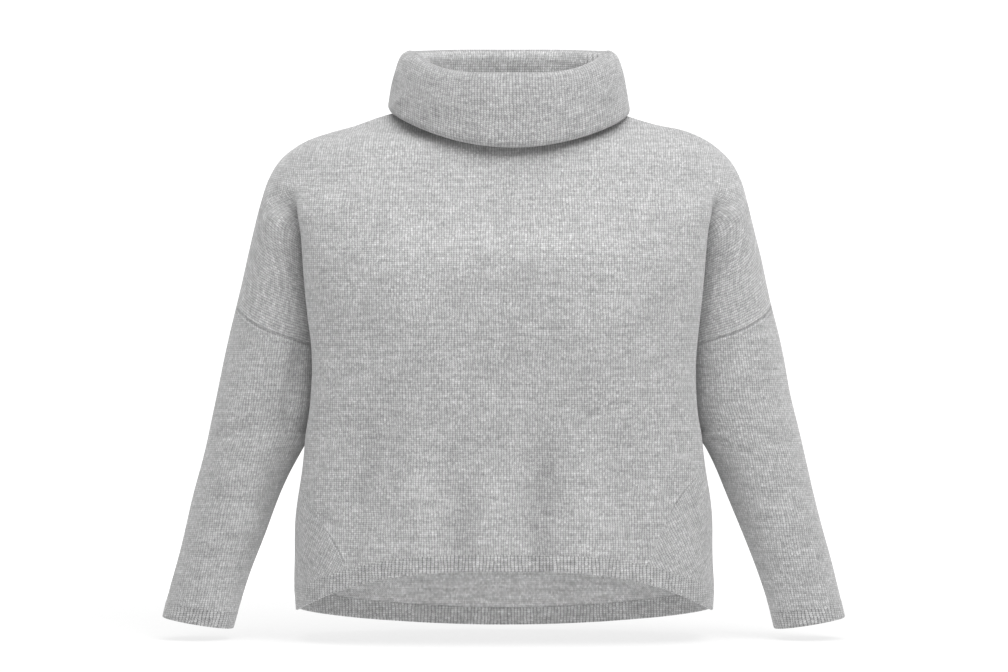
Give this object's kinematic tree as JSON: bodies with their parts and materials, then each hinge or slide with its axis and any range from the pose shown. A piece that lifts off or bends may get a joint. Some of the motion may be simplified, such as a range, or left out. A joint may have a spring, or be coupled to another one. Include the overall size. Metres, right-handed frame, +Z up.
{
  "type": "roll-collar sweater",
  "caption": "Relaxed grey melange knit sweater with dropped shoulders, long sleeves, a curved hem longer at the back and a high folded roll collar, hollow as worn.",
  "frame": {"origin": "middle of the neckline, where the wearer's neck and shoulders hold the garment, 14.5 mm below the high shoulder points", "axes": "+Z up the wearer's neck, the front of the garment faces -Y, +X towards the wearer's left sleeve"},
  "size_m": [0.7574, 0.2556, 0.6532],
  "materials": {
    "knit": "matte grey melange plain knit",
    "band_knit": "matte grey melange knit, doubled as a welt"
  },
  "bodies": {
    "root": {"front_panel": "knit", "back_panel": "knit", "side_gusset_left": "knit", "side_gusset_right": "knit", "sleeve_left": "knit", "sleeve_right": "knit", "collar": "knit", "hem_front": "band_knit", "hem_back": "band_knit", "cuff_left": "band_knit", "cuff_right": "band_knit"}
  },
  "joints": []
}
